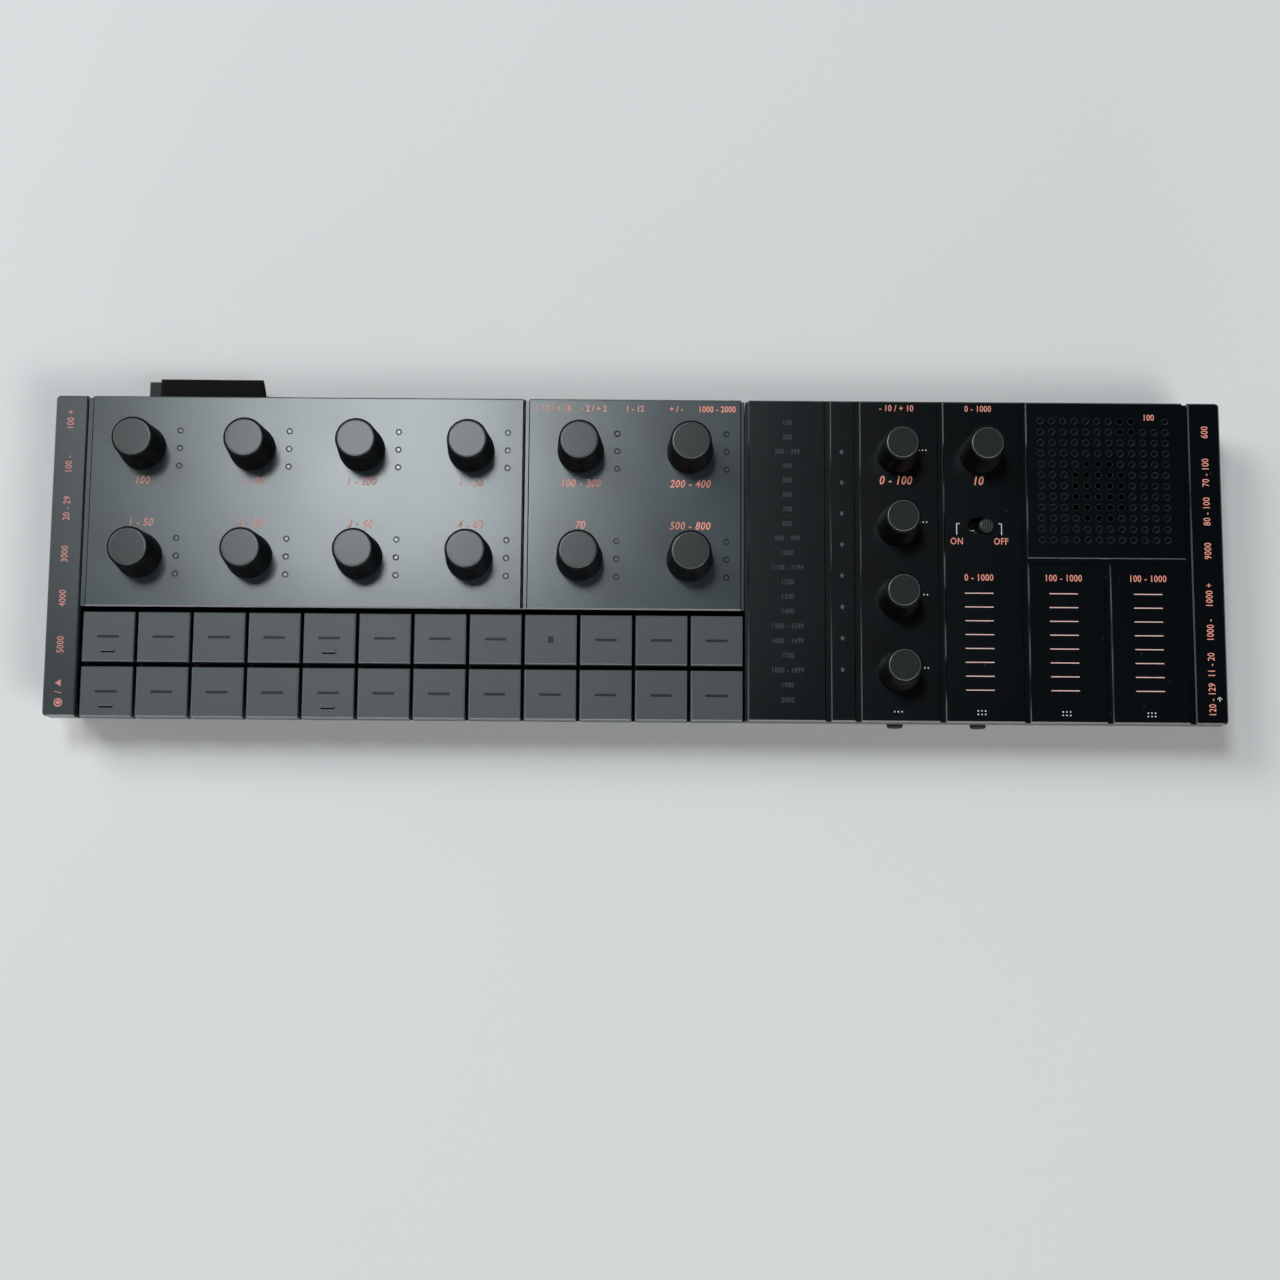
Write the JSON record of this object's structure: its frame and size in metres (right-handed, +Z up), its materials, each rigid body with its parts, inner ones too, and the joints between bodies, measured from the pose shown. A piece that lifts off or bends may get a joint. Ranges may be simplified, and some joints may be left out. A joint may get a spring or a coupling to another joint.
{
  "type": "drum machine",
  "caption": "Flat table-top drum machine: two rows of pads, knobs with flat tops, a grille, touch strips, edge buttons and sockets in a slim case.",
  "frame": {"origin": "on the table, under the middle of the whole, tag and edge buttons included", "axes": "+X towards the right end with the sockets, +Y to the rear, +Z up through the key tops"},
  "size_m": [0.343, 0.104, 0.038],
  "materials": {
    "panel_grey": "satin slate grey moulding with a fine texture",
    "key_grey": "satin grey, finely textured",
    "cover_black": "matt near-black moulding",
    "case_black": "matt black, fine texture",
    "knob_black": "matt charcoal",
    "switch_black": "matt charcoal, ribbed",
    "button_rubber": "matt black",
    "board_green": "solder-resist green",
    "socket_black": "black sockets",
    "speaker_black": "black paper cone and steel frame",
    "battery_wrap": "heat-shrink sleeve",
    "tag_cloth": "folded woven ribbon",
    "foot_rubber": "soft black rubber",
    "screw_steel": "black-zinc steel"
  },
  "bodies": {
    "case": {"lower_case": "case_black", "track_panel": "panel_grey", "control_cover": "cover_black", "left_end_panel": "cover_black", "right_end_panel": "cover_black", "key_frame": "case_black", "main_board": "board_green", "sockets": "socket_black", "speaker": "speaker_black", "battery": "battery_wrap", "pull_tag": "tag_cloth", "rubber_feet": "foot_rubber", "case_screws": "screw_steel", "left_buttons": "button_rubber", "right_buttons": "button_rubber", "rear_buttons": "button_rubber"},
    "front_key_01_body": {"front_key_01": "key_grey"},
    "front_key_02_body": {"front_key_02": "key_grey"},
    "front_key_03_body": {"front_key_03": "key_grey"},
    "front_key_04_body": {"front_key_04": "key_grey"},
    "front_key_05_body": {"front_key_05": "key_grey"},
    "front_key_06_body": {"front_key_06": "key_grey"},
    "front_key_07_body": {"front_key_07": "key_grey"},
    "front_key_08_body": {"front_key_08": "key_grey"},
    "front_key_09_body": {"front_key_09": "key_grey"},
    "front_key_10_body": {"front_key_10": "key_grey"},
    "front_key_11_body": {"front_key_11": "key_grey"},
    "front_key_12_body": {"front_key_12": "key_grey"},
    "rear_key_01_body": {"rear_key_01": "key_grey"},
    "rear_key_02_body": {"rear_key_02": "key_grey"},
    "rear_key_03_body": {"rear_key_03": "key_grey"},
    "rear_key_04_body": {"rear_key_04": "key_grey"},
    "rear_key_05_body": {"rear_key_05": "key_grey"},
    "rear_key_06_body": {"rear_key_06": "key_grey"},
    "rear_key_07_body": {"rear_key_07": "key_grey"},
    "rear_key_08_body": {"rear_key_08": "key_grey"},
    "rear_key_09_body": {"rear_key_09": "key_grey"},
    "rear_key_10_body": {"rear_key_10": "key_grey"},
    "rear_key_11_body": {"rear_key_11": "key_grey"},
    "rear_key_12_body": {"rear_key_12": "key_grey"},
    "rear_knob_1_body": {"rear_knob_1": "knob_black"},
    "rear_knob_2_body": {"rear_knob_2": "knob_black"},
    "rear_knob_3_body": {"rear_knob_3": "knob_black"},
    "rear_knob_4_body": {"rear_knob_4": "knob_black"},
    "rear_knob_5_body": {"rear_knob_5": "knob_black"},
    "rear_knob_6_body": {"rear_knob_6": "knob_black"},
    "front_knob_1_body": {"front_knob_1": "knob_black"},
    "front_knob_2_body": {"front_knob_2": "knob_black"},
    "front_knob_3_body": {"front_knob_3": "knob_black"},
    "front_knob_4_body": {"front_knob_4": "knob_black"},
    "front_knob_5_body": {"front_knob_5": "knob_black"},
    "front_knob_6_body": {"front_knob_6": "knob_black"},
    "sound_knob_1_body": {"sound_knob_1": "knob_black"},
    "sound_knob_2_body": {"sound_knob_2": "knob_black"},
    "sound_knob_3_body": {"sound_knob_3": "knob_black"},
    "sound_knob_4_body": {"sound_knob_4": "knob_black"},
    "effect_knob_body": {"effect_knob": "knob_black"},
    "effect_switch_body": {"effect_switch": "switch_black"},
    "front_button_1_body": {"front_button_1": "button_rubber"},
    "front_button_2_body": {"front_button_2": "button_rubber"}
  },
  "joints": [
    {"name": "front_key_01_press", "type": "slide", "parent": "case", "child": "front_key_01_body", "axis": [0, 0, -1], "range_m": [0, 0.001], "stiffness_N_per_m": 600},
    {"name": "front_key_02_press", "type": "slide", "parent": "case", "child": "front_key_02_body", "axis": [0, 0, -1], "range_m": [0, 0.001], "stiffness_N_per_m": 600},
    {"name": "front_key_03_press", "type": "slide", "parent": "case", "child": "front_key_03_body", "axis": [0, 0, -1], "range_m": [0, 0.001], "stiffness_N_per_m": 600},
    {"name": "front_key_04_press", "type": "slide", "parent": "case", "child": "front_key_04_body", "axis": [0, 0, -1], "range_m": [0, 0.001], "stiffness_N_per_m": 600},
    {"name": "front_key_05_press", "type": "slide", "parent": "case", "child": "front_key_05_body", "axis": [0, 0, -1], "range_m": [0, 0.001], "stiffness_N_per_m": 600},
    {"name": "front_key_06_press", "type": "slide", "parent": "case", "child": "front_key_06_body", "axis": [0, 0, -1], "range_m": [0, 0.001], "stiffness_N_per_m": 600},
    {"name": "front_key_07_press", "type": "slide", "parent": "case", "child": "front_key_07_body", "axis": [0, 0, -1], "range_m": [0, 0.001], "stiffness_N_per_m": 600},
    {"name": "front_key_08_press", "type": "slide", "parent": "case", "child": "front_key_08_body", "axis": [0, 0, -1], "range_m": [0, 0.001], "stiffness_N_per_m": 600},
    {"name": "front_key_09_press", "type": "slide", "parent": "case", "child": "front_key_09_body", "axis": [0, 0, -1], "range_m": [0, 0.001], "stiffness_N_per_m": 600},
    {"name": "front_key_10_press", "type": "slide", "parent": "case", "child": "front_key_10_body", "axis": [0, 0, -1], "range_m": [0, 0.001], "stiffness_N_per_m": 600},
    {"name": "front_key_11_press", "type": "slide", "parent": "case", "child": "front_key_11_body", "axis": [0, 0, -1], "range_m": [0, 0.001], "stiffness_N_per_m": 600},
    {"name": "front_key_12_press", "type": "slide", "parent": "case", "child": "front_key_12_body", "axis": [0, 0, -1], "range_m": [0, 0.001], "stiffness_N_per_m": 600},
    {"name": "rear_key_01_press", "type": "slide", "parent": "case", "child": "rear_key_01_body", "axis": [0, 0, -1], "range_m": [0, 0.001], "stiffness_N_per_m": 600},
    {"name": "rear_key_02_press", "type": "slide", "parent": "case", "child": "rear_key_02_body", "axis": [0, 0, -1], "range_m": [0, 0.001], "stiffness_N_per_m": 600},
    {"name": "rear_key_03_press", "type": "slide", "parent": "case", "child": "rear_key_03_body", "axis": [0, 0, -1], "range_m": [0, 0.001], "stiffness_N_per_m": 600},
    {"name": "rear_key_04_press", "type": "slide", "parent": "case", "child": "rear_key_04_body", "axis": [0, 0, -1], "range_m": [0, 0.001], "stiffness_N_per_m": 600},
    {"name": "rear_key_05_press", "type": "slide", "parent": "case", "child": "rear_key_05_body", "axis": [0, 0, -1], "range_m": [0, 0.001], "stiffness_N_per_m": 600},
    {"name": "rear_key_06_press", "type": "slide", "parent": "case", "child": "rear_key_06_body", "axis": [0, 0, -1], "range_m": [0, 0.001], "stiffness_N_per_m": 600},
    {"name": "rear_key_07_press", "type": "slide", "parent": "case", "child": "rear_key_07_body", "axis": [0, 0, -1], "range_m": [0, 0.001], "stiffness_N_per_m": 600},
    {"name": "rear_key_08_press", "type": "slide", "parent": "case", "child": "rear_key_08_body", "axis": [0, 0, -1], "range_m": [0, 0.001], "stiffness_N_per_m": 600},
    {"name": "rear_key_09_press", "type": "slide", "parent": "case", "child": "rear_key_09_body", "axis": [0, 0, -1], "range_m": [0, 0.001], "stiffness_N_per_m": 600},
    {"name": "rear_key_10_press", "type": "slide", "parent": "case", "child": "rear_key_10_body", "axis": [0, 0, -1], "range_m": [0, 0.001], "stiffness_N_per_m": 600},
    {"name": "rear_key_11_press", "type": "slide", "parent": "case", "child": "rear_key_11_body", "axis": [0, 0, -1], "range_m": [0, 0.001], "stiffness_N_per_m": 600},
    {"name": "rear_key_12_press", "type": "slide", "parent": "case", "child": "rear_key_12_body", "axis": [0, 0, -1], "range_m": [0, 0.001], "stiffness_N_per_m": 600},
    {"name": "rear_knob_1_turn", "type": "hinge", "parent": "case", "child": "rear_knob_1_body", "pos_m": [-0.14446, 0.02755, 0.0235], "axis": [0, 0, 1], "continuous": true},
    {"name": "rear_knob_2_turn", "type": "hinge", "parent": "case", "child": "rear_knob_2_body", "pos_m": [-0.11246, 0.02755, 0.0235], "axis": [0, 0, 1], "continuous": true},
    {"name": "rear_knob_3_turn", "type": "hinge", "parent": "case", "child": "rear_knob_3_body", "pos_m": [-0.08048, 0.02755, 0.0235], "axis": [0, 0, 1], "continuous": true},
    {"name": "rear_knob_4_turn", "type": "hinge", "parent": "case", "child": "rear_knob_4_body", "pos_m": [-0.04849, 0.02755, 0.0235], "axis": [0, 0, 1], "continuous": true},
    {"name": "rear_knob_5_turn", "type": "hinge", "parent": "case", "child": "rear_knob_5_body", "pos_m": [-0.01649, 0.02755, 0.0235], "axis": [0, 0, 1], "continuous": true},
    {"name": "rear_knob_6_turn", "type": "hinge", "parent": "case", "child": "rear_knob_6_body", "pos_m": [0.0155, 0.02755, 0.0235], "axis": [0, 0, 1], "continuous": true},
    {"name": "front_knob_1_turn", "type": "hinge", "parent": "case", "child": "front_knob_1_body", "pos_m": [-0.14446, -0.00445, 0.0235], "axis": [0, 0, 1], "continuous": true},
    {"name": "front_knob_2_turn", "type": "hinge", "parent": "case", "child": "front_knob_2_body", "pos_m": [-0.11246, -0.00445, 0.0235], "axis": [0, 0, 1], "continuous": true},
    {"name": "front_knob_3_turn", "type": "hinge", "parent": "case", "child": "front_knob_3_body", "pos_m": [-0.08048, -0.00445, 0.0235], "axis": [0, 0, 1], "continuous": true},
    {"name": "front_knob_4_turn", "type": "hinge", "parent": "case", "child": "front_knob_4_body", "pos_m": [-0.04849, -0.00445, 0.0235], "axis": [0, 0, 1], "continuous": true},
    {"name": "front_knob_5_turn", "type": "hinge", "parent": "case", "child": "front_knob_5_body", "pos_m": [-0.01649, -0.00445, 0.0235], "axis": [0, 0, 1], "continuous": true},
    {"name": "front_knob_6_turn", "type": "hinge", "parent": "case", "child": "front_knob_6_body", "pos_m": [0.0155, -0.00445, 0.0235], "axis": [0, 0, 1], "continuous": true},
    {"name": "sound_knob_1_turn", "type": "hinge", "parent": "case", "child": "sound_knob_1_body", "pos_m": [0.07598, 0.02745, 0.0235], "axis": [0, 0, 1], "continuous": true},
    {"name": "sound_knob_2_turn", "type": "hinge", "parent": "case", "child": "sound_knob_2_body", "pos_m": [0.07598, 0.00605, 0.0235], "axis": [0, 0, 1], "continuous": true},
    {"name": "sound_knob_3_turn", "type": "hinge", "parent": "case", "child": "sound_knob_3_body", "pos_m": [0.07598, -0.01535, 0.0235], "axis": [0, 0, 1], "continuous": true},
    {"name": "sound_knob_4_turn", "type": "hinge", "parent": "case", "child": "sound_knob_4_body", "pos_m": [0.07598, -0.03675, 0.0235], "axis": [0, 0, 1], "continuous": true},
    {"name": "effect_knob_turn", "type": "hinge", "parent": "case", "child": "effect_knob_body", "pos_m": [0.10029, 0.02745, 0.0235], "axis": [0, 0, 1], "continuous": true},
    {"name": "effect_switch_slide", "type": "slide", "parent": "case", "child": "effect_switch_body", "axis": [-1, 0, 0], "range_m": [0, 0.003]},
    {"name": "front_button_1_press", "type": "slide", "parent": "case", "child": "front_button_1_body", "axis": [0, 1, 0], "range_m": [0, 0.0005], "stiffness_N_per_m": 800},
    {"name": "front_button_2_press", "type": "slide", "parent": "case", "child": "front_button_2_body", "axis": [0, 1, 0], "range_m": [0, 0.0005], "stiffness_N_per_m": 800}
  ]
}
